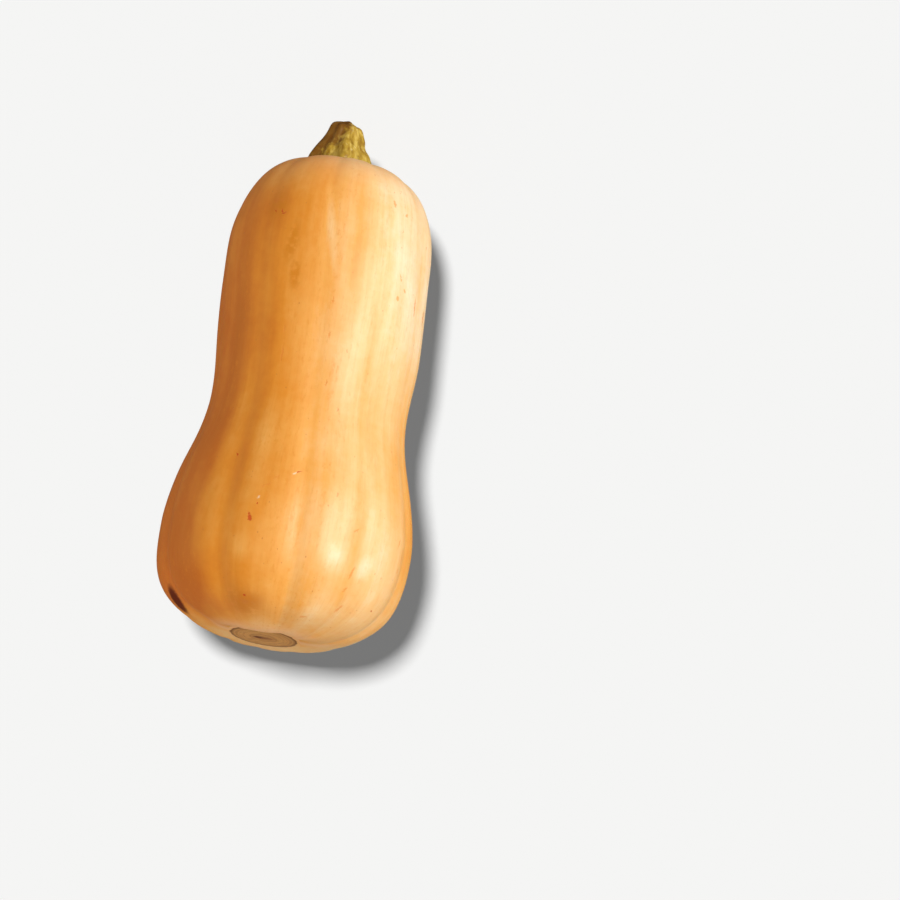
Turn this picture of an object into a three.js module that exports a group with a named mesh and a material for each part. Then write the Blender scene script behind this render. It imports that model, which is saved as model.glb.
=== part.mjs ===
// A whole butternut squash as picked, lying on its side: a fat seed bulb, a thick
// straight neck and the short woody stub of its stem.
// Millimetres. +Z is up from the surface it lies on, +Y runs from the blossom end to the stem.

import * as THREE from "three";

// Driving dimensions of the fruit. Heights are measured along its own axis from the blossom end.
const BULB = { radius: 54.4, height: 43.4 };
const WAIST = { radius: 43.4, height: 103.5 };
const NECK = { radius: 45.7, height: 154.5 };
const BODY_LENGTH = 216;
const BLOSSOM_FULLNESS = 2.9; // how square the bulb's end is: 2 is an ellipse
const SHOULDER_FULLNESS = 3.1;

// The corky scar left by the blossom, sunk in a shallow dimple a little off the axis.
const SCAR_RADIUS = 14.5;
const SCAR_OFFSET = -2;
const DIMPLE_RADIUS = 27;
const DIMPLE_DEPTH = 0.9;

// A lip swells out above the dimple, lower where a furrow crosses it.
const LIP = { rise: 3.5, angle: 0.15, radius: 24, breadth: 11 };
const NOTCH = { share: 0.35, angle: 0.4, breadth: 0.28 };

// Ten lobes with a soft furrow between each pair.
const LOBES = 10;
const FURROW_DEPTH = 0.45;
const END_FURROW_DEPTH = 1.2;
const FURROW_TWIST = 0.26; // radians, from one end to the other

// The axis wavers a little to each side, and the blossom end sits slightly askew.
const AXIS_SHIFT = { bulb: 1, neck: -1.1, top: -0.2 };
const END_SLANT = { side: 0.015, up: 0.09 };

// How it lies: the bulb and the neck both touch, so the stem end dips.
const REST_TILT = THREE.MathUtils.degToRad(4.25);
const REST_HEIGHT = 55.5; // from the surface to the axis at the blossom end
const SETTLE = 1; // how softly the flattened spots blend into the skin

// The stem: a ridged stub that flares into a foot on the neck's end.
const STEM_LENGTH = 21.5;
const STEM_RADIUS = 6;
const FOOT_RADIUS = 14;
const FLARE_HEIGHT = 12;
const TIP_HEIGHT = 5; // over which the stem's end rounds off
const STEM_RIDGES = 5;
const RIDGE_DEPTH = 0.09; // as a share of the stem's radius
const STEM_OFFSET = -3.4;
const STEM_LEAN = 0.1;
const TIP_SLANT = 0.1;
const STEM_GAP = 0.3;

// How finely the skin is divided.
const AROUND = 80;
const BLOSSOM_RINGS = 24;
const SIDE_RINGS = 20;
const SHOULDER_RINGS = 15;
const STEM_AROUND = 60;
const STEM_RINGS = 18;

const { smoothstep, lerp } = THREE.MathUtils;
const bell = (x, centre, width) => Math.exp(-(((x - centre) / width) ** 2));

// Radius of the plain fruit between the bulb's and the neck's widest places.
function sideRadius(height) {
  return height < WAIST.height
    ? lerp(BULB.radius, WAIST.radius, smoothstep(height, BULB.height, WAIST.height))
    : lerp(WAIST.radius, NECK.radius, smoothstep(height, WAIST.height, NECK.height));
}

// A point of a superelliptic cap, with its pole at share 0 and its rim at share 1.
function capPoint(share, radius, depth, fullness) {
  const angle = (share * Math.PI) / 2;
  return new THREE.Vector2(
    radius * Math.sin(angle) ** (2 / fullness),
    depth * (1 - Math.cos(angle) ** (2 / fullness)),
  );
}

// Height of the shoulder's skin at a distance from the axis.
function shoulderHeight(radius) {
  const share = 1 - (radius / NECK.radius) ** SHOULDER_FULLNESS;
  return NECK.height + (BODY_LENGTH - NECK.height) * share ** (1 / SHOULDER_FULLNESS);
}

// The fruit's outline from pole to pole, as radius and height.
function fruitOutline() {
  const points = [];
  for (let i = 0; i < BLOSSOM_RINGS; i++) {
    const share = (i / BLOSSOM_RINGS) ** 1.3;
    points.push(capPoint(share, BULB.radius, BULB.height, BLOSSOM_FULLNESS));
  }
  for (let i = 0; i < SIDE_RINGS; i++) {
    const height = lerp(BULB.height, NECK.height, i / SIDE_RINGS);
    points.push(new THREE.Vector2(sideRadius(height), height));
  }
  for (let i = SHOULDER_RINGS; i >= 0; i--) {
    const depth = BODY_LENGTH - NECK.height;
    const point = capPoint(i / SHOULDER_RINGS, NECK.radius, depth, SHOULDER_FULLNESS);
    points.push(new THREE.Vector2(point.x, BODY_LENGTH - point.y));
  }
  return points;
}

// Where the axis lies across the squash at a height.
function axisShift(height) {
  const bulb = AXIS_SHIFT.bulb * smoothstep(height, 10, 60);
  const neck = (AXIS_SHIFT.neck - AXIS_SHIFT.bulb) * smoothstep(height, 120, 185);
  const top = (AXIS_SHIFT.top - AXIS_SHIFT.neck) * smoothstep(height, 190, BODY_LENGTH);
  return bulb + neck + top;
}

// How far the skin is drawn in by the furrows, at an angle round the axis from the top.
function furrow(angle, height, radius) {
  const wander = 0.02 * Math.sin(3 * angle) - 0.05 * Math.cos(2 * angle);
  const turned = angle + wander + FURROW_TWIST * (height / BODY_LENGTH - 0.69);
  const groove = ((1 + Math.cos(LOBES * turned)) / 2) ** 2;
  const atBlossom = END_FURROW_DEPTH * bell(height, 4, 22);
  const atShoulder = 0.5 * smoothstep(height, 195, BODY_LENGTH);
  const onBulb = 0.5 * bell(height, 50, 30);
  const depth = FURROW_DEPTH + atBlossom + atShoulder + onBulb;
  return depth * groove * smoothstep(radius, SCAR_RADIUS - 1, SCAR_RADIUS + 9);
}

// How far the skin of the blossom end is moved along the axis: in at the dimple, out at the lip.
function blossomShift(angle, radius) {
  const dimple = DIMPLE_DEPTH * (1 - smoothstep(radius, SCAR_RADIUS - 0.5, DIMPLE_RADIUS));
  const facing = Math.max(0, Math.cos(angle - LIP.angle)) ** 2;
  const notched = 1 - NOTCH.share * bell(angle, NOTCH.angle, NOTCH.breadth);
  const lip = LIP.rise * facing * notched * bell(radius, LIP.radius, LIP.breadth);
  const slant = radius * (END_SLANT.up * Math.cos(angle) - END_SLANT.side * Math.sin(angle));
  return dimple - lip * smoothstep(radius, SCAR_RADIUS, 22) + slant * (1 - smoothstep(radius, 20, 45));
}

// Moves a point of the plain fruit to where the grown one has it, still on a straight axis.
function grow(point) {
  const radius = Math.hypot(point.x, point.z);
  const angle = Math.atan2(point.x, point.z);
  const height = point.y;
  const grown = radius - furrow(angle, height, radius);
  point.x = grown * Math.sin(angle) + axisShift(height);
  point.z = grown * Math.cos(angle);
  if (height < BULB.height) {
    point.x += SCAR_OFFSET * (1 - smoothstep(radius, SCAR_RADIUS, 2.2 * SCAR_RADIUS));
    point.y = height + blossomShift(angle, radius);
  }
  return point;
}

// Presses what would sink into the surface flat against it, with a soft edge.
function settle(point) {
  if (point.z < -SETTLE) point.z = 0;
  else if (point.z < SETTLE) point.z = (point.z + SETTLE) ** 2 / (4 * SETTLE);
  return point;
}

// Applies a function to every vertex of a geometry.
function reshape(geometry, change) {
  const places = geometry.attributes.position;
  const point = new THREE.Vector3();
  for (let i = 0; i < places.count; i++) {
    change(point.fromBufferAttribute(places, i));
    places.setXYZ(i, point.x, point.y, point.z);
  }
  geometry.computeVertexNormals();
  return geometry;
}

// Lays a geometry that was made on the straight axis down on the surface.
function layDown(geometry) {
  return geometry.rotateX(-REST_TILT).translate(0, 0, REST_HEIGHT);
}

function fruitGeometry() {
  const plain = new THREE.LatheGeometry(fruitOutline(), AROUND);
  return reshape(layDown(reshape(plain, grow)), settle);
}

// The stem's outline as radius and height over the skin, from under its foot to its rounded tip.
function stemOutline() {
  const points = [];
  for (const share of [0, 0.35, 0.7, 0.96]) {
    points.push(new THREE.Vector2(share * FOOT_RADIUS, STEM_GAP));
  }
  for (let i = 0; i <= STEM_RINGS; i++) {
    const height = lerp(STEM_LENGTH, 1, (1 - i / STEM_RINGS) ** 1.5);
    const flare = Math.exp(-((height / FLARE_HEIGHT) ** 1.5));
    const end = Math.max(0, 1 - (STEM_LENGTH - height) / TIP_HEIGHT);
    const rounding = (1 - end ** 2.5) ** 0.45;
    points.push(new THREE.Vector2(lerp(STEM_RADIUS, FOOT_RADIUS, flare) * rounding, height));
  }
  return points;
}

// Ridges the stem's side, leans it, slants its tip, and sits its foot on the shoulder.
function growStem(point) {
  const radius = Math.hypot(point.x, point.z);
  const angle = Math.atan2(point.x, point.z);
  const rise = point.y / STEM_LENGTH;
  const turned = STEM_RIDGES * (angle - 0.14 - 0.25 * rise);
  const ridge = Math.cos(turned) + 0.5 * Math.cos(2 * turned);
  const depth = RIDGE_DEPTH * smoothstep(radius, 0, 0.6 * STEM_RADIUS);
  const grown = radius * (1 + depth * ridge);
  point.x = grown * Math.sin(angle) + STEM_OFFSET + STEM_LEAN * rise;
  point.z = grown * Math.cos(angle);
  const seat = shoulderHeight(Math.hypot(point.x - AXIS_SHIFT.top, point.z));
  const slant = TIP_SLANT * smoothstep(rise, 0.4, 1) * grown * Math.sin(angle + 0.3);
  point.y += lerp(seat, BODY_LENGTH, smoothstep(rise, 0.1, 0.5)) - slant;
  return point;
}

function stemGeometry() {
  return layDown(reshape(new THREE.LatheGeometry(stemOutline(), STEM_AROUND), growStem));
}

const skin = new THREE.MeshStandardMaterial({ color: 0xe3a35b, roughness: 0.42, metalness: 0 });
const woody = new THREE.MeshStandardMaterial({ color: 0x8d6f2c, roughness: 0.8, metalness: 0 });

const fruit = new THREE.Mesh(fruitGeometry(), skin);
fruit.name = "fruit";
const stem = new THREE.Mesh(stemGeometry(), woody);
stem.name = "stem";

// The origin is under the middle of the whole squash, on the surface it lies on.
const squash = new THREE.Group();
squash.add(fruit, stem);
const box = new THREE.Box3().setFromObject(squash);
const middle = box.getCenter(new THREE.Vector3());
squash.position.set(-middle.x, -middle.y, 0);

export default squash;
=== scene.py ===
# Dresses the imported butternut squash: the rind with its lobes, streaks, nicks and corky
# blossom scar, and the ridged dry stem. Shapes are in millimetres until they become meshes.
import math
from types import SimpleNamespace

import bpy
import numpy as np
from mathutils import Matrix, Vector


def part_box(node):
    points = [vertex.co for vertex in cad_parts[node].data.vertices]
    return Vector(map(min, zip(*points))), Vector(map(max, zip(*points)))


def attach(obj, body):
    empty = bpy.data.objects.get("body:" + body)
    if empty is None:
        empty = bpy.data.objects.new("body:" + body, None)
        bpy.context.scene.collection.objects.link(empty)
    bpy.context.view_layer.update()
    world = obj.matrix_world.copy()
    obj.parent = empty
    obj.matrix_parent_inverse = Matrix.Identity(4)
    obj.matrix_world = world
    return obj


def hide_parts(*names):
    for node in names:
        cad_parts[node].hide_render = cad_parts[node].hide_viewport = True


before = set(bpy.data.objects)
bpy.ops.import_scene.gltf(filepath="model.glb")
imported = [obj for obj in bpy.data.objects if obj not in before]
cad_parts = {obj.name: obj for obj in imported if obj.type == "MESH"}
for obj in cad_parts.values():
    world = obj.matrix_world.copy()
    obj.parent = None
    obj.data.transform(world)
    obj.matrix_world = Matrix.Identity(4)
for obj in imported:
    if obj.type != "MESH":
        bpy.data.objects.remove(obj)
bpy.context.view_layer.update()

MM = 0.001

# The fruit's plain shape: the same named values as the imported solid's, so the rind lies on it.
BULB_RADIUS, BULB_HEIGHT = 54.4, 43.4
WAIST_RADIUS, WAIST_HEIGHT = 43.4, 103.5
NECK_RADIUS, NECK_HEIGHT = 45.7, 154.5
BODY_LENGTH = 216.0
BLOSSOM_FULLNESS = 2.9
SHOULDER_FULLNESS = 3.1

SCAR_RADIUS = 14.5
SCAR_OFFSET = -2.0
DIMPLE_RADIUS = 27.0
DIMPLE_DEPTH = 0.9
LIP_RISE, LIP_ANGLE, LIP_RADIUS, LIP_BREADTH = 3.5, 0.15, 24.0, 11.0
NOTCH_SHARE, NOTCH_ANGLE, NOTCH_BREADTH = 0.35, 0.4, 0.28

LOBES = 10
FURROW_DEPTH = 0.45
END_FURROW_DEPTH = 1.2
FURROW_TWIST = 0.26

SHIFT_BULB, SHIFT_NECK, SHIFT_TOP = 1.0, -1.1, -0.2
SLANT_SIDE, SLANT_UP = 0.015, 0.09

REST_TILT = math.radians(4.25)
REST_HEIGHT = 55.5
SETTLE = 1.0

STEM_LENGTH = 21.5
STEM_RADIUS = 6.0
FOOT_RADIUS = 14.0
FLARE_HEIGHT = 12.0
TIP_HEIGHT = 5.0
STEM_RIDGES = 5
RIDGE_DEPTH = 0.09
STEM_OFFSET = -3.4
STEM_LEAN = 0.1
TIP_SLANT = 0.1
STEM_GAP = 0.3

# The fine relief that only the visible meshes have.
LUMP_HEIGHT = 0.22
CREASE_DEPTH, CREASE_ON_BULB, CREASE_ON_SHOULDER = 0.12, 0.5, 0.2
CREASE_SHARPNESS = 5
WRINKLE_HEIGHT = 0.26
WRINKLE_STRETCH = 0.45

# How finely the visible meshes are divided.
RIND_RINGS, RIND_AROUND = 268, 360
STEM_RINGS, STEM_AROUND = 110, 240


def smoothstep(x, low, high):
    t = np.clip((x - low) / (high - low), 0.0, 1.0)
    return t * t * (3.0 - 2.0 * t)


def lerp(a, b, t):
    return a + (b - a) * t


def bell(x, centre, width):
    return np.exp(-(((x - centre) / width) ** 2))


def cap(share, radius, depth, fullness):
    """Radius and height of a superelliptic cap, from its pole at share 0 to its rim at 1."""
    angle = share * math.pi / 2
    return (
        radius * np.sin(angle) ** (2 / fullness),
        depth * (1 - np.clip(np.cos(angle), 0, 1) ** (2 / fullness)),
    )


def side_radius(height):
    low = lerp(BULB_RADIUS, WAIST_RADIUS, smoothstep(height, BULB_HEIGHT, WAIST_HEIGHT))
    high = lerp(WAIST_RADIUS, NECK_RADIUS, smoothstep(height, WAIST_HEIGHT, NECK_HEIGHT))
    return np.where(height < WAIST_HEIGHT, low, high)


def shoulder_height(radius):
    share = 1 - (radius / NECK_RADIUS) ** SHOULDER_FULLNESS
    return NECK_HEIGHT + (BODY_LENGTH - NECK_HEIGHT) * share ** (1 / SHOULDER_FULLNESS)


def even_steps(radius, height, count):
    """Points at even steps along a polyline, with the length run so far."""
    run = np.concatenate([[0], np.cumsum(np.hypot(np.diff(radius), np.diff(height)))])
    steps = np.linspace(0, run[-1], count)
    return np.interp(steps, run, radius), np.interp(steps, run, height), steps


def fruit_outline():
    share = np.linspace(0, 1, 3000)
    r1, h1 = cap(share**1.3, BULB_RADIUS, BULB_HEIGHT, BLOSSOM_FULLNESS)
    h2 = np.linspace(BULB_HEIGHT, NECK_HEIGHT, 1500)[1:-1]
    r3, h3 = cap(share[::-1], NECK_RADIUS, BODY_LENGTH - NECK_HEIGHT, SHOULDER_FULLNESS)
    radius = np.concatenate([r1, side_radius(h2), r3])
    height = np.concatenate([h1, h2, BODY_LENGTH - h3])
    return even_steps(radius, height, RIND_RINGS)


def axis_shift(height):
    bulb = SHIFT_BULB * smoothstep(height, 10, 60)
    neck = (SHIFT_NECK - SHIFT_BULB) * smoothstep(height, 120, 185)
    top = (SHIFT_TOP - SHIFT_NECK) * smoothstep(height, 190, BODY_LENGTH)
    return bulb + neck + top


def groove(angle, height):
    """1 along the middle of each furrow between two lobes, 0 on the lobes."""
    wander = 0.02 * np.sin(3 * angle) - 0.05 * np.cos(2 * angle)
    turned = angle + wander + FURROW_TWIST * (height / BODY_LENGTH - 0.69)
    return ((1 + np.cos(LOBES * turned)) / 2) ** 2


def furrow(angle, height, radius):
    depth = (
        FURROW_DEPTH
        + END_FURROW_DEPTH * bell(height, 4, 22)
        + 0.5 * smoothstep(height, 195, BODY_LENGTH)
        + 0.5 * bell(height, 50, 30)
    )
    return depth * groove(angle, height) * smoothstep(radius, SCAR_RADIUS - 1, SCAR_RADIUS + 9)


def blossom_shift(angle, radius):
    """How far the blossom end's skin moves along the axis: in at the dimple, out at the lip."""
    dimple = DIMPLE_DEPTH * (1 - smoothstep(radius, SCAR_RADIUS - 0.5, DIMPLE_RADIUS))
    facing = np.maximum(0, np.cos(angle - LIP_ANGLE)) ** 2
    notched = 1 - NOTCH_SHARE * bell(angle, NOTCH_ANGLE, NOTCH_BREADTH)
    lip = LIP_RISE * facing * notched * bell(radius, LIP_RADIUS, LIP_BREADTH)
    slant = radius * (SLANT_UP * np.cos(angle) - SLANT_SIDE * np.sin(angle))
    return dimple - lip * smoothstep(radius, SCAR_RADIUS, 22) + slant * (1 - smoothstep(radius, 20, 45))


def lay_down(points):
    """From the straight axis to the surface it lies on."""
    x, y, z = points[..., 0], points[..., 1], points[..., 2]
    c, s = math.cos(REST_TILT), math.sin(REST_TILT)
    return np.stack([x, y * c + z * s, -y * s + z * c + REST_HEIGHT], -1)


def settle(points):
    """Presses what would sink into the surface flat against it, with a soft edge."""
    z = points[..., 2]
    soft = (z + SETTLE) ** 2 / (4 * SETTLE)
    points[..., 2] = np.where(z < -SETTLE, 0, np.where(z < SETTLE, soft, z))
    return points


def grid_normals(points):
    """Outward normals of a ring-by-ring grid that closes round the axis."""
    along = np.gradient(points, axis=0)
    around = np.roll(points, -1, 1) - np.roll(points, 1, 1)
    normal = np.cross(around, along)
    length = np.linalg.norm(normal, axis=-1, keepdims=True)
    return normal / np.maximum(length, 1e-9)


def waves(points, count, shortest, longest, seed):
    """Smooth noise of about unit height: random plane waves through the points."""
    rng = np.random.default_rng(seed)
    total = np.zeros(points.shape[:-1])
    for _ in range(count):
        direction = rng.normal(size=3)
        direction /= np.linalg.norm(direction)
        wavelength = rng.uniform(shortest, longest)
        phase = rng.uniform(0, 2 * math.pi)
        total += np.cos(points @ direction * (2 * math.pi / wavelength) + phase)
    return total / math.sqrt(count / 2)


def around_the_axis(count):
    return np.linspace(-math.pi, math.pi, count, endpoint=False)[None, :]


def lathe_places(radius, along, angle):
    """Where each point lies on the plain turned shape, for the materials to read."""
    x, z = radius * np.sin(angle), radius * np.cos(angle)
    return np.stack([x, np.broadcast_to(along, x.shape), z], -1)


def closed_grid(name, points, poles, lathe, lathe_poles):
    """A mesh of the grid's rings with a fan at each pole, which carries its lathe places."""
    rings, around = points.shape[:2]

    def with_poles(values, ends):
        return np.concatenate([[ends[0]], values.reshape(-1, 3), [ends[1]]])

    faces = []
    last = 1 + rings * around
    top = 1 + (rings - 1) * around
    for j in range(around):
        k = (j + 1) % around
        faces.append((0, 1 + k, 1 + j))
        for i in range(rings - 1):
            a, b = 1 + i * around, 1 + (i + 1) * around
            faces.append((a + j, a + k, b + k, b + j))
        faces.append((top + j, top + k, last))
    mesh = bpy.data.meshes.new(name)
    mesh.from_pydata((with_poles(points, poles) * MM).tolist(), [], faces)
    layer = mesh.attributes.new("lathe", "FLOAT_VECTOR", "POINT")
    layer.data.foreach_set("vector", with_poles(lathe, lathe_poles).astype(np.float32).ravel())
    mesh.update()
    mesh.shade_smooth()
    piece = bpy.data.objects.new(name, mesh)
    bpy.context.scene.collection.objects.link(piece)
    return piece


# The rind
def rind_piece():
    """The rind's mesh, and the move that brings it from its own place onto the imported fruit."""
    radius, height, run = fruit_outline()
    radius, height, run = (v[1:-1, None] for v in (radius, height, run))
    angle = around_the_axis(RIND_AROUND)
    grown = radius - furrow(angle, height, radius)
    across = grown * np.sin(angle) + axis_shift(height)
    upward = grown * np.cos(angle)
    along = np.broadcast_to(height, across.shape)
    blossom = along < BULB_HEIGHT
    sideways = SCAR_OFFSET * (1 - smoothstep(radius, SCAR_RADIUS, 2.2 * SCAR_RADIUS))
    across = across + np.where(blossom, sideways, 0)
    along = along + np.where(blossom, blossom_shift(angle, radius), 0)
    plain = np.stack([across, along, upward], -1)
    lathe = lathe_places(radius, run, angle)

    lumps = LUMP_HEIGHT * waves(lathe, count=26, shortest=26, longest=70, seed=3)
    lumps = lumps * smoothstep(radius, 20, 50)
    crease = groove(angle, height) ** CREASE_SHARPNESS * (
        CREASE_DEPTH
        + CREASE_ON_BULB * bell(height, 25, 40)
        + CREASE_ON_SHOULDER * smoothstep(height, 190, 214)
    )
    relief = lumps - crease * smoothstep(radius, 20, 42)
    points = settle(lay_down(plain + grid_normals(plain) * relief[..., None]))

    low = settle(lay_down(plain)).reshape(-1, 3).min(0)
    high = lay_down(plain).reshape(-1, 3).max(0)
    box_low, box_high = (np.array(c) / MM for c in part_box("fruit"))
    move = (box_low + box_high - low - high) / 2
    move[2] = 0
    poles = lay_down(np.array([[SCAR_OFFSET, DIMPLE_DEPTH, 0.0], [SHIFT_TOP, BODY_LENGTH, 0.0]]))
    lathe_poles = ([0, 0, 0], [0, run[-1, 0] + radius[-1, 0], 0])
    return closed_grid("rind", points + move, poles + move, lathe, lathe_poles), move


rind, move = rind_piece()
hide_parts("fruit")
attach(rind, "root")


# The stem
def stem_piece():
    under_foot = np.array([0.0, 0.35, 0.7, 0.96])
    heights = lerp(STEM_LENGTH, 1, np.linspace(1, 0, 400) ** 1.5)
    flare = np.exp(-((heights / FLARE_HEIGHT) ** 1.5))
    rounding = (1 - np.maximum(0, 1 - (STEM_LENGTH - heights) / TIP_HEIGHT) ** 2.5) ** 0.45
    radius = np.concatenate([under_foot * FOOT_RADIUS, lerp(STEM_RADIUS, FOOT_RADIUS, flare) * rounding])
    height = np.concatenate([np.full(len(under_foot), STEM_GAP), heights])
    radius, height, _ = even_steps(radius, height, STEM_RINGS)
    radius, height = (v[1:-1, None] for v in (radius, height))
    angle = around_the_axis(STEM_AROUND)
    rise = height / STEM_LENGTH
    turned = STEM_RIDGES * (angle - 0.14 - 0.25 * rise)
    ridge = np.cos(turned) + 0.5 * np.cos(2 * turned)
    depth = RIDGE_DEPTH * smoothstep(radius, 0, 0.6 * STEM_RADIUS)
    grown = radius * (1 + depth * ridge)
    across = grown * np.sin(angle) + STEM_OFFSET + STEM_LEAN * rise
    upward = grown * np.cos(angle)
    seat = shoulder_height(np.hypot(across - SHIFT_TOP, upward))
    slant = TIP_SLANT * smoothstep(rise, 0.4, 1) * grown * np.sin(angle + 0.3)
    along = height + lerp(seat, BODY_LENGTH, smoothstep(rise, 0.1, 0.5)) - slant
    plain = np.stack([across, along, upward], -1)
    lathe = lathe_places(radius, height, angle)

    stretched = lathe * np.array([1, WRINKLE_STRETCH, 1])
    wrinkles = WRINKLE_HEIGHT * waves(stretched, count=24, shortest=3.5, longest=8, seed=5)
    wrinkles = wrinkles * smoothstep(radius, 0, 4) * smoothstep(height, 0.5, 3)
    points = lay_down(plain + grid_normals(plain) * wrinkles[..., None]) + move
    foot = [STEM_OFFSET, BODY_LENGTH + STEM_GAP, 0.0]
    tip = [STEM_OFFSET + STEM_LEAN, BODY_LENGTH + STEM_LENGTH, 0.0]
    poles = lay_down(np.array([foot, tip])) + move
    return closed_grid("dry_stem", points, poles, lathe, ([0, 0, 0], [0, STEM_LENGTH, 0]))


stem = stem_piece()
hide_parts("stem")
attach(stem, "root")


# Materials
class Graph:
    """Builds a material's nodes as expressions. A value is a number, a tuple or a socket."""

    def __init__(self, name):
        self.material = bpy.data.materials.new(name)
        self.material.use_nodes = True
        self.tree = self.material.node_tree
        self.shader = self.tree.nodes["Principled BSDF"]

    def put(self, socket, value):
        if isinstance(value, bpy.types.NodeSocket):
            self.tree.links.new(value, socket)
        elif isinstance(value, tuple) and len(value) == 3 and socket.type == "RGBA":
            socket.default_value = (*value, 1.0)
        else:
            socket.default_value = value

    def shade(self, **inputs):
        """Sets the shader's own sockets."""
        for key, value in inputs.items():
            self.put(self.shader.inputs[key.replace("_", " ")], value)

    def node(self, kind, settings=None, **inputs):
        made = self.tree.nodes.new(kind)
        for key, value in (settings or {}).items():
            setattr(made, key, value)
        for key, value in inputs.items():
            self.put(made.inputs[key.replace("_", " ")], value)
        return made

    def math(self, operation, *values):
        made = self.node("ShaderNodeMath", {"operation": operation})
        for socket, value in zip(made.inputs, values):
            self.put(socket, value)
        return made.outputs[0]

    def plus(self, a, b):
        return self.math("ADD", a, b)

    def minus(self, a, b):
        return self.math("SUBTRACT", a, b)

    def times(self, a, b):
        return self.math("MULTIPLY", a, b)

    def larger(self, a, b):
        return self.math("MAXIMUM", a, b)

    def swing(self, pattern, amount):
        """A pattern from 0 to 1 as a change of this amount in all, half of it each way."""
        return self.math("MULTIPLY_ADD", pattern, amount, -amount / 2)

    def within(self, distance, width):
        """1 where a distance is nothing, 0 where it is more than the width either way."""
        return self.step(self.math("ABSOLUTE", distance), width, 0.0)

    def vector(self, operation, *values):
        made = self.node("ShaderNodeVectorMath", {"operation": operation})
        for socket, value in zip(made.inputs, values):
            self.put(socket, value)
        return made.outputs["Value" if operation == "LENGTH" else "Vector"]

    def scaled(self, vector, x, y, z):
        return self.vector("MULTIPLY", vector, (x, y, z))

    def combine(self, x, y, z):
        return self.node("ShaderNodeCombineXYZ", X=x, Y=y, Z=z).outputs[0]

    def noise(self, vector, scale, detail=2.0, roughness=0.5):
        shape = {"Scale": scale, "Detail": detail, "Roughness": roughness}
        return self.node("ShaderNodeTexNoise", Vector=vector, **shape).outputs["Fac"]

    def step(self, value, low, high, to_low=0.0, to_high=1.0):
        made = self.node("ShaderNodeMapRange", {"interpolation_type": "SMOOTHSTEP"})
        keys = ("Value", "From Min", "From Max", "To Min", "To Max")
        for key, v in zip(keys, (value, low, high, to_low, to_high)):
            self.put(made.inputs[key], v)
        return made.outputs[0]

    def ramp(self, value, stops):
        """A colour from stops of (place, colour), blended evenly."""
        made = self.node("ShaderNodeValToRGB", Fac=value)
        line = made.color_ramp.elements
        while len(line) < len(stops):
            line.new(0.5)
        for element, (place, colour) in zip(line, stops):
            element.position = place
            element.color = (*colour, 1.0)
        return made.outputs["Color"]

    def dots(self, vector, share, size, seed):
        """Small round dots in a share of the cells of a unit grid of random points."""
        where = self.vector("ADD", vector, (seed, 0.0, 0.0))
        made = self.node("ShaderNodeTexVoronoi", Vector=where, Scale=1.0, Randomness=0.9)
        pick = self.node("ShaderNodeSeparateColor", Color=made.outputs["Color"]).outputs[0]
        reach = self.step(pick, 1 - share, 1.0, 0.0, size)
        return self.step(self.minus(made.outputs["Distance"], reach), 0.0, -0.5 * size)

    def spot(self, vector, angle, run, across, along, turn=0.0, soft=0.5):
        """1 inside an oval on the skin, given by its half sizes in millimetres, 0 outside it."""
        a, t = math.radians(angle), math.radians(turn)
        out = Vector((math.sin(a), 0, math.cos(a)))
        around = Vector((math.cos(a), 0, -math.sin(a)))
        up = Vector((0, 1, 0))
        axes = (around * math.cos(t) + up * math.sin(t), up * math.cos(t) - around * math.sin(t), out)
        place = out * float(np.interp(run, OUTLINE[2], OUTLINE[0])) + up * run
        made = self.node("ShaderNodeMapping", {"vector_type": "TEXTURE"}, Vector=vector)
        made.inputs["Location"].default_value = place
        made.inputs["Rotation"].default_value = Matrix(axes).transposed().to_euler()
        made.inputs["Scale"].default_value = (across, along, max(across, along))
        return self.step(self.vector("LENGTH", made.outputs[0]), 1.0, 1.0 - soft)

    def spots(self, vector, places, soft=0.5):
        """1 inside any of the ovals."""
        total = None
        for place in places:
            spot = self.spot(vector, *place, soft=soft)
            total = spot if total is None else self.larger(total, spot)
        return total

    def mix(self, factor, a, b):
        made = self.tree.nodes.new("ShaderNodeMix")
        made.data_type = "RGBA"
        self.put(made.inputs[0], factor)
        self.put(made.inputs[6], a)
        self.put(made.inputs[7], b)
        return made.outputs[2]

    def tint(self, colour, pattern, strength, paint):
        """The colour, with a share of the paint laid over it where the pattern is 1."""
        return self.mix(self.times(pattern, strength), colour, paint)


OUTLINE = fruit_outline()

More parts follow.
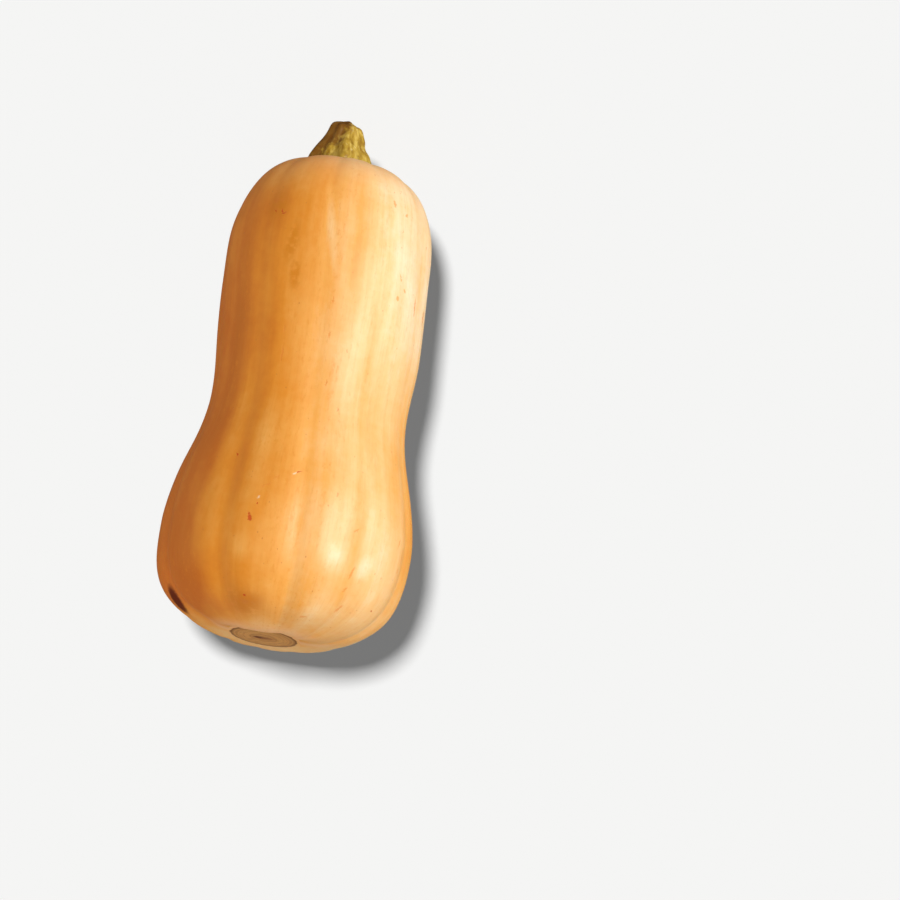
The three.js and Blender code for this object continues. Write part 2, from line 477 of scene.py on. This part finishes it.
# Marks on the skin: angle from the top in degrees, run from the blossom pole, half width,
# half length and turn.
NICKS = (
    (-12.6, 80.6, 1.2, 2.0, 25),
    (-13.4, 82.4, 0.7, 0.9, 0),
    (-10.6, 87.0, 0.5, 0.6, 0),
    (5.2, 103.6, 0.35, 1.6, -62),
    (-27.8, 109.0, 0.45, 1.3, 48),
    (-26.6, 219.6, 0.4, 1.5, 20),
    (-25.4, 218.4, 0.35, 1.5, -60),
    (-31.0, 219.5, 0.35, 1.2, 50),
    (61.8, 53.4, 0.7, 0.7, 0),
    (-11.4, 47.6, 0.8, 0.9, 0),
)
RUSTY_MARKS = (
    (-15.2, 155.7, 0.5, 4.5, 0),
    (-16.0, 167.0, 0.4, 2.0, 0),
    (9.3, 166.5, 0.45, 2.2, 0),
    (12.0, 145.9, 0.5, 2.0, 0),
    (8.8, 181.8, 0.45, 2.0, 0),
    (-8.3, 95.6, 0.35, 3.0, -62),
    (-4.6, 99.5, 0.3, 2.6, -50),
    (23.8, 40.7, 0.5, 2.0, -60),
    (39.5, 66.0, 0.8, 4.2, -14),
    (39.0, 58.5, 0.7, 2.2, -35),
    (42.0, 49.5, 0.8, 4.0, -30),
    (40.3, 232.8, 0.8, 2.4, 15),
    (49.8, 229.6, 0.8, 1.4, -50),
    (47.8, 200.0, 0.5, 2.4, 20),
    (47.2, 190.6, 1.0, 1.3, 0),
    (52.0, 195.0, 0.7, 1.3, 40),
    (64.5, 191.0, 0.9, 5.5, 4),
    (80.0, 190.0, 1.2, 5.0, 0),
    (36.5, 83.9, 0.4, 2.0, -50),
    (66.0, 85.0, 0.6, 3.2, -22),
    (72.0, 80.5, 0.7, 3.6, 12),
    (70.0, 74.0, 0.6, 2.0, 0),
)
WHITE_FLECKS = (
    (-10.7, 89.8, 0.6, 1.3, -25),
    (3.2, 102.4, 0.55, 1.2, -60),
)
STAINS = (
    (-14.0, 44.0, 17.0, 11.0, -70),
    (-17.5, 205.0, 5.0, 15.0, -6),
    (-13.5, 191.0, 4.5, 11.0, 0),
    (-30.0, 222.0, 7.0, 12.0, 0),
)
# Paler patches. Those at 28 and 45.5 degrees on the bulb and at 48 and 38 degrees on the neck and
# shoulder, all on the +X side, are painted highlights.
PALE_PATCHES_AND_HIGHLIGHTS = (
    (28.0, 70.9, 7.0, 9.0, 10),
    (45.5, 69.5, 6.0, 9.5, -25),
    (48.0, 205.0, 26.0, 52.0, 0),
    (38.0, 243.0, 26.0, 22.0, 0),
    (-32.0, 238.0, 24.0, 20.0, 0),
    (-15.0, 69.0, 7.0, 9.0, 0),
    (2.5, 216.0, 3.0, 32.0, 11),
    (-8.0, 30.0, 26.0, 13.0, 0),
)
# Deeper orange patches. The two at -47 degrees are painted shade, the dark band along the -X side turned
# from the key lamp.
DEEP_PATCHES_AND_SHADE = (
    (-47.0, 56.0, 18.0, 36.0, 0),
    (-47.0, 165.0, 9.0, 70.0, 0),
    (-10.0, 45.0, 11.0, 7.0, 15),
)
# Deeper orange flanks. The one at -50 degrees is painted shade on the bulb's -X side, turned from the
# key lamp.
ORANGE_FLANKS_AND_SHADE = (
    (100.0, 105.0, 50.0, 105.0, 0),
    (-50.0, 58.0, 16.0, 34.0, 0),
)
BRUISE = (-73.5, 44.0, 4.4, 13.0, -22)
SCAR_HEART = (90.0, 1.5, 3.2, 7.0)
SCAR_CORE = (-90.0, 2.4, 3.0, 4.6)

# The runs that part the two ends from the side between them.
BULB_SIDE_RUN, NECK_SIDE_RUN = 60.0, 200.0

# The fold across the blossom end, with a painted highlight along its crest: it bends up to the left,
# slopes down to the right and arches over the scar, with a painted pale highlight as a brim all along
# the scar's upper side.
FOLD_BEND, FOLD_SLOPE, FOLD_ARCH = 0.02, -0.12, 16.0
CREST_WIDTH = 5.0
BRIM_RADIUS, BRIM_WIDTH = 24.5, 8.0

# The rind's colours, as linear light. The tones run from the deepest orange to the palest cream.
SKIN_TONES = (
    (0.05, (0.63, 0.175, 0.008)),
    (0.28, (0.76, 0.285, 0.024)),
    (0.50, (0.84, 0.40, 0.085)),
    (0.74, (0.88, 0.55, 0.24)),
    (0.95, (0.90, 0.72, 0.48)),
)
# Deep orange, also used for painted shade.
DEEP_AND_SHADE_ORANGE = (0.52, 0.14, 0.003)
# The painted highlight on the fold's crest and brim.
CREST_HIGHLIGHT_PINK = (0.95, 0.66, 0.46)
# A painted sheen on the shoulder.
SHOULDER_SHEEN_PINK = (0.93, 0.62, 0.36)
STAIN_OCHRE = (0.65, 0.22, 0.003)
CHAIN_ORANGE = (0.72, 0.26, 0.016)
DARK_THREAD = (0.70, 0.24, 0.015)
PALE_THREAD = (0.90, 0.52, 0.12)
DARK_HAIR = (0.62, 0.22, 0.015)
PORE_BROWN = (0.52, 0.17, 0.03)
FRECKLE_BROWN = (0.55, 0.16, 0.025)
RUST = (0.76, 0.26, 0.035)
NICK_RED = (0.58, 0.085, 0.006)
BRUISE_BLACK = (0.12, 0.012, 0.002)
FLECK_WHITE = (0.86, 0.66, 0.42)
CORK_DARK, CORK_LIGHT = (0.36, 0.15, 0.026), (0.58, 0.285, 0.068)
CORK_GREY = (0.26, 0.13, 0.045)
CORK_HEART, CORK_CORE = (0.30, 0.10, 0.014), (0.17, 0.052, 0.006)
CORK_RIM = (0.20, 0.075, 0.010)

# The stem's colours.
STEM_TONES = (
    (0.30, (0.30, 0.16, 0.010)),
    (0.50, (0.46, 0.29, 0.030)),
    (0.70, (0.66, 0.47, 0.10)),
)
# Dark brown towards the tip and painted shade on the stem's -X side.
STEM_DARK_TIP_AND_SHADE = (0.16, 0.052, 0.005)
STEM_SPECK = (0.82, 0.66, 0.27)

FLOOR_GREY = (0.8879231, 0.8879231, 0.8796224)


def lathe_place(g):
    """The lathe place and its parts, and how far to the side it faces: 1 at +X, -1 at -X."""
    lathe = g.node("ShaderNodeAttribute", {"attribute_name": "lathe"}).outputs["Vector"]
    x, run, z = g.node("ShaderNodeSeparateXYZ", Vector=lathe).outputs
    radius = g.vector("LENGTH", g.combine(x, 0.0, z))
    reach = g.larger(radius, 0.5)
    side = g.math("DIVIDE", x, reach)
    return SimpleNamespace(lathe=lathe, x=x, run=run, z=z, radius=radius, reach=reach, side=side)


def add_rind_patterns(g, skin):
    """Adds the patterns that the rind's colour and its relief share. Face is 1 on top."""
    skin.face = g.math("DIVIDE", skin.z, skin.reach)
    skin.calm = g.step(skin.radius, 10.0, 44.0)

    def streaks(fine, length, detail, seed):
        """Streaks from pole to pole, which fade towards both poles."""
        where = g.combine(
            g.math("MULTIPLY_ADD", skin.side, fine, seed),
            g.math("DIVIDE", skin.run, length),
            g.times(skin.face, fine),
        )
        return g.math("MULTIPLY_ADD", g.minus(g.noise(where, 1.0, detail, 0.55), 0.5), skin.calm, 0.5)

    skin.bands = streaks(3.6, 150.0, 1.0, 3.0)
    skin.stripes = streaks(9.0, 70.0, 2.0, 9.0)
    skin.threads = streaks(26.0, 34.0, 2.0, 1.0)
    skin.hairs = streaks(80.0, 9.0, 2.0, 5.0)
    skin.mottle = g.noise(skin.lathe, 0.25, 3.0, 0.6)
    wobble = g.node("ShaderNodeTexNoise", Vector=skin.lathe, Scale=1.1, Detail=2.0).outputs["Color"]
    wobble = g.vector("SUBTRACT", wobble, (0.5, 0.5, 0.5))
    skin.shaken = g.vector("ADD", skin.lathe, g.scaled(wobble, 1.6, 1.6, 1.6))
    skin.pores = g.dots(g.scaled(skin.lathe, 0.42, 0.27, 0.42), 0.5, 0.16, 0.0)
    skin.freckles = g.dots(g.scaled(skin.shaken, 0.18, 0.07, 0.18), 0.5, 0.11, 7.0)
    skin.rusty = g.spots(skin.shaken, RUSTY_MARKS)
    skin.nicks = g.spots(skin.shaken, NICKS)
    drift = g.times(g.noise(skin.lathe, 0.2), 3.0)
    skin.rings = g.noise(g.combine(g.times(skin.radius, 1.3), drift, 0.0), 1.0, 3.0, 0.6)
    edge = g.plus(skin.radius, g.swing(g.noise(skin.lathe, 0.35, 3.0), 1.6))
    skin.scar = g.times(g.step(edge, 15.0, 14.3), g.math("LESS_THAN", skin.run, BULB_SIDE_RUN))


def painted_fold_light(g, skin):
    """Painted highlights along the crest of the fold across the blossom end and on the brim above the
    scar, and painted light on the skin under the fold.
    """
    left = g.math("MINIMUM", skin.x, 0.0)
    bend = g.times(g.times(left, left), FOLD_BEND)
    line = g.plus(bend, g.times(g.larger(skin.x, 0.0), FOLD_SLOPE))
    arch = g.math("MULTIPLY_ADD", g.times(skin.x, skin.x), -1.0, FOLD_ARCH**2)
    line = g.larger(line, g.math("SQRT", g.larger(arch, 0.0)))
    above = g.minus(skin.z, line)
    blossom = g.step(skin.run, 50.0, 32.0)
    brim_highlight = g.within(g.minus(skin.radius, BRIM_RADIUS), BRIM_WIDTH)
    brim_highlight = g.times(brim_highlight, g.step(skin.face, 0.2, 0.9))
    crest_highlight = g.times(g.within(above, CREST_WIDTH), g.step(skin.radius, 38.0, 20.0))
    return g.times(g.larger(crest_highlight, brim_highlight), blossom), g.times(g.step(above, 4.0, -12.0), blossom)


def skin_colour(g, skin):
    crest_highlight, under_light = painted_fold_light(g, skin)
    blotches = g.noise(g.scaled(skin.lathe, 1.0, 0.6, 1.0), 0.045, 3.0, 0.5)
    # Painted light and shade: paler on the +X side that faces the key lamp, deeper orange on the -X side
    # turned from it, fading towards both ends.
    pale = g.math("MULTIPLY_ADD", g.times(skin.side, skin.calm), 0.40, 0.43)
    # Painted light: paler skin on the blossom end's face below the fold.
    pale = g.math("MULTIPLY_ADD", under_light, 0.28, pale)
    pale = g.minus(pale, g.times(g.step(skin.face, 0.0, -0.9, 0.0, 0.2), skin.calm))
    swings = ((skin.bands, 0.38), (skin.stripes, 0.26), (blotches, 0.44), (skin.mottle, 0.16))
    for pattern, amount in swings:
        pale = g.plus(pale, g.swing(pattern, amount))
    # Paler patches, partly painted highlights.
    pale = g.plus(pale, g.times(g.spots(skin.lathe, PALE_PATCHES_AND_HIGHLIGHTS, soft=1.0), 0.20))
    # Deeper orange flanks, partly painted shade.
    pale = g.minus(pale, g.times(g.spots(skin.lathe, ORANGE_FLANKS_AND_SHADE, soft=1.0), 0.52))
    colour = g.ramp(pale, SKIN_TONES)
    # Deeper orange patches, partly painted shade.
    colour = g.tint(colour, g.spots(skin.lathe, DEEP_PATCHES_AND_SHADE, soft=1.0), 0.62, DEEP_AND_SHADE_ORANGE)
    # Painted highlight along the fold's crest and the scar's brim.
    colour = g.tint(colour, crest_highlight, 0.4, CREST_HIGHLIGHT_PINK)
    stains = g.times(g.spots(skin.shaken, STAINS, soft=0.8), g.step(skin.mottle, 0.31, 0.56))
    return g.tint(colour, stains, 0.85, STAIN_OCHRE)


def threaded_colour(g, skin, colour):
    """Broken chains of darker threads, fine light and dark threads, and short hairs."""
    cloud = g.noise(g.scaled(skin.lathe, 0.75, 0.32, 0.75), 1.0, 3.0, 0.6)
    chains = g.times(g.step(cloud, 0.50, 0.70), g.step(skin.threads, 0.38, 0.60))
    chains = g.times(chains, g.step(skin.side, 0.2, 0.7, 1.0, 0.4))
    colour = g.tint(colour, chains, 0.40, CHAIN_ORANGE)
    colour = g.mix(g.step(skin.threads, 0.48, 0.72, 0.0, 0.10), colour, DARK_THREAD)
    colour = g.mix(g.step(skin.threads, 0.46, 0.26, 0.0, 0.05), colour, PALE_THREAD)
    return g.mix(g.step(skin.hairs, 0.50, 0.72, 0.0, 0.11), colour, DARK_HAIR)


def marked_colour(g, skin, colour):
    colour = g.tint(colour, skin.pores, 0.5, PORE_BROWN)
    colour = g.tint(colour, skin.freckles, 0.45, FRECKLE_BROWN)
    colour = g.tint(colour, skin.rusty, 0.65, RUST)
    colour = g.tint(colour, skin.nicks, 0.95, NICK_RED)
    colour = g.tint(colour, g.spot(skin.shaken, *BRUISE, soft=0.45), 0.93, BRUISE_BLACK)
    colour = g.tint(colour, g.spots(skin.shaken, WHITE_FLECKS), 0.8, FLECK_WHITE)
    # Painted sheen: pink on the shoulder round the stem, stronger on the +X side that faces the key
    # lamp.
    shoulder_sheen = g.step(skin.radius, 47.0, 22.0, 0.0, 0.6)
    shoulder_sheen = g.times(shoulder_sheen, g.math("GREATER_THAN", skin.run, NECK_SIDE_RUN))
    shoulder_sheen = g.times(shoulder_sheen, g.step(skin.side, -0.5, 0.4, 0.45, 1.0))
    return g.mix(shoulder_sheen, colour, SHOULDER_SHEEN_PINK)


def cork_colour(g, skin):
    """The blossom scar: ringed cork with a dark heart and a dark rim."""
    cork = g.mix(g.step(skin.rings, 0.28, 0.68), CORK_DARK, CORK_LIGHT)
    cork = g.mix(g.step(skin.mottle, 0.52, 0.7, 0.0, 0.35), cork, CORK_GREY)
    cork = g.mix(g.spot(skin.shaken, *SCAR_HEART, soft=1.0), cork, CORK_HEART)
    cork = g.mix(g.spot(skin.shaken, *SCAR_CORE, soft=0.7), cork, CORK_CORE)
    return g.mix(g.step(skin.radius, 12.6, 14.2, 0.0, 0.85), cork, CORK_RIM)


def rind_material():
    g = Graph("butternut_rind")
    skin = lathe_place(g)
    add_rind_patterns(g, skin)
    colour = marked_colour(g, skin, threaded_colour(g, skin, skin_colour(g, skin)))
    rough = g.math("MULTIPLY_ADD", skin.threads, 0.14, 0.40)
    rough = g.larger(rough, g.times(g.larger(skin.scar, skin.nicks), 0.85))

    height = g.plus(g.times(skin.threads, 0.3), g.times(skin.hairs, 0.12))
    height = g.minus(height, g.times(g.larger(skin.pores, skin.freckles), 0.35))
    height = g.minus(height, g.times(g.larger(g.times(skin.rusty, 0.4), skin.nicks), 1.2))
    height = g.plus(height, g.times(g.times(skin.rings, skin.scar), 3.0))
    bump = g.node("ShaderNodeBump", Strength=0.3, Distance=0.00035, Height=height)
    g.shade(
        Base_Color=g.mix(skin.scar, colour, cork_colour(g, skin)),
        Roughness=rough,
        Normal=bump.outputs[0],
        Specular_IOR_Level=0.65,
        Sheen_Weight=0.04,
        Sheen_Roughness=0.3,
        Sheen_Tint=(1.0, 0.75, 0.45),
        Subsurface_Weight=0.12,
        Subsurface_Radius=(1.0, 0.4, 0.15),
        Subsurface_Scale=0.004,
    )
    return g.material


def stem_material():
    g = Graph("dry_stem_wood")
    wood = lathe_place(g)
    grain = g.noise(g.scaled(wood.lathe, 0.55, 0.13, 0.55), 1.0, 2.0, 0.5)
    mottle = g.noise(wood.lathe, 0.45, 2.0, 0.5)
    # Dark brown that grows towards the tip, and painted shade on the -X side turned from the key lamp.
    dark_tip_and_shade = g.plus(g.math("MULTIPLY_ADD", wood.side, -0.9, -0.60), g.times(wood.run, 0.058))
    dark_tip_and_shade = g.step(g.plus(dark_tip_and_shade, g.swing(mottle, 1.2)), -0.15, 0.35)
    colour = g.tint(g.ramp(grain, STEM_TONES), dark_tip_and_shade, 0.85, STEM_DARK_TIP_AND_SHADE)
    specks = g.times(g.step(mottle, 0.58, 0.70, 0.0, 0.5), g.minus(1.0, dark_tip_and_shade))
    colour = g.mix(specks, colour, STEM_SPECK)
    bump = g.node("ShaderNodeBump", Strength=0.4, Distance=0.0006, Height=grain)
    g.shade(Base_Color=colour, Roughness=0.4, Normal=bump.outputs[0])
    return g.material


def floor_material():
    g = Graph("pale_floor")
    g.shade(Base_Color=FLOOR_GREY, Roughness=0.9, Specular_IOR_Level=0.1)
    return g.material


rind.data.materials.append(rind_material())
stem.data.materials.append(stem_material())

# The rind throws no orange light on the floor, so the shadow stays a plain grey.
rind.visible_diffuse = False

# Floor, light and camera
bpy.ops.mesh.primitive_plane_add(size=8.0, location=(0, 0, -0.0002))
floor = bpy.context.object
floor.name = "floor"
floor.data.materials.append(floor_material())
# Mirrored in the rind, the pale floor would turn its edges pink.
floor.visible_glossy = False

LIGHT_AIM = Vector((0, 0, 0.04))
LAMP_DISTANCE = 1.5
SUN_DISTANCE = 2.0
SUN_ENERGY = 0.838 * math.pi
WORLD_STRENGTH = 0.21
WHITE = (1.0, 1.0, 1.0)


def light_on(name, kind, direction, distance, energy, colour, lit, **settings):
    """A soft light that looks at the squash from a direction and lights only what is listed."""
    light = bpy.data.lights.new(name, kind)
    light.energy = energy
    light.color = colour
    for key, value in settings.items():
        setattr(light, key, value)
    made = bpy.data.objects.new(name, light)
    made.location = LIGHT_AIM + Vector(direction).normalized() * distance
    made.rotation_euler = (LIGHT_AIM - made.location).to_track_quat("-Z", "Y").to_euler()
    bpy.context.scene.collection.objects.link(made)
    group = bpy.data.collections.new(name + "_lights")
    for piece in lit:
        group.objects.link(piece)
    made.light_linking.receiver_collection = group
    return made


def softbox(name, direction, strength, colour, size, mirrored=True):
    """A round area light on the squash alone. One that isn't mirrored makes no highlight."""
    energy = strength * (math.pi * LAMP_DISTANCE) ** 2
    lit = (rind, stem)
    made = light_on(name, "AREA", direction, LAMP_DISTANCE, energy, colour, lit, shape="DISK", size=size)
    made.visible_glossy = mirrored


softbox("key", (0.76, 0.18, 0.66), 1.0, (1.0, 0.97, 0.92), size=1.0)
softbox("fill", (-0.15, 0.0, 1.0), 0.36, (1.0, 0.88, 0.70), size=1.4, mirrored=False)
softbox("glow", (-0.9, -0.1, 0.22), 0.22, (1.0, 0.72, 0.22), size=1.2)
softbox("front", (-0.2, -1.0, 0.0), 0.46, (1.0, 0.76, 0.38), size=1.2, mirrored=False)
light_on("floor_light", "SUN", (-0.17, 0.14, 1.0), SUN_DISTANCE, SUN_ENERGY, WHITE, (floor,), angle=0.17)

world = bpy.data.worlds.new("studio")
bpy.context.scene.world = world
world.use_nodes = True
world.node_tree.nodes["Background"].inputs["Color"].default_value = (*WHITE, 1.0)
world.node_tree.nodes["Background"].inputs["Strength"].default_value = WORLD_STRENGTH
# Only the key and the glow make highlights.
world.cycles_visibility.glossy = False

AZIMUTH, ELEVATION = math.radians(8.5), math.radians(81.0)
CAMERA_DISTANCE = 1.1
FOCAL_LENGTH = 100.76
SENSOR_WIDTH = 36.0
AIM = Vector((0.06433, -0.02288, 0.04986))

camera_data = bpy.data.cameras.new("camera")
camera_data.lens = FOCAL_LENGTH
camera_data.sensor_width = SENSOR_WIDTH
camera_data.clip_start = 0.01
camera = bpy.data.objects.new("camera", camera_data)
back = Vector(
    (
        math.sin(AZIMUTH) * math.cos(ELEVATION),
        -math.cos(AZIMUTH) * math.cos(ELEVATION),
        math.sin(ELEVATION),
    )
)
right = Vector((math.cos(AZIMUTH), math.sin(AZIMUTH), 0))
turn = Matrix((right, back.cross(right), back)).transposed()
camera.matrix_world = Matrix.Translation(AIM + back * CAMERA_DISTANCE) @ turn.to_4x4()
bpy.context.scene.collection.objects.link(camera)
bpy.context.scene.camera = camera

bpy.context.scene.view_settings.view_transform = "Standard"
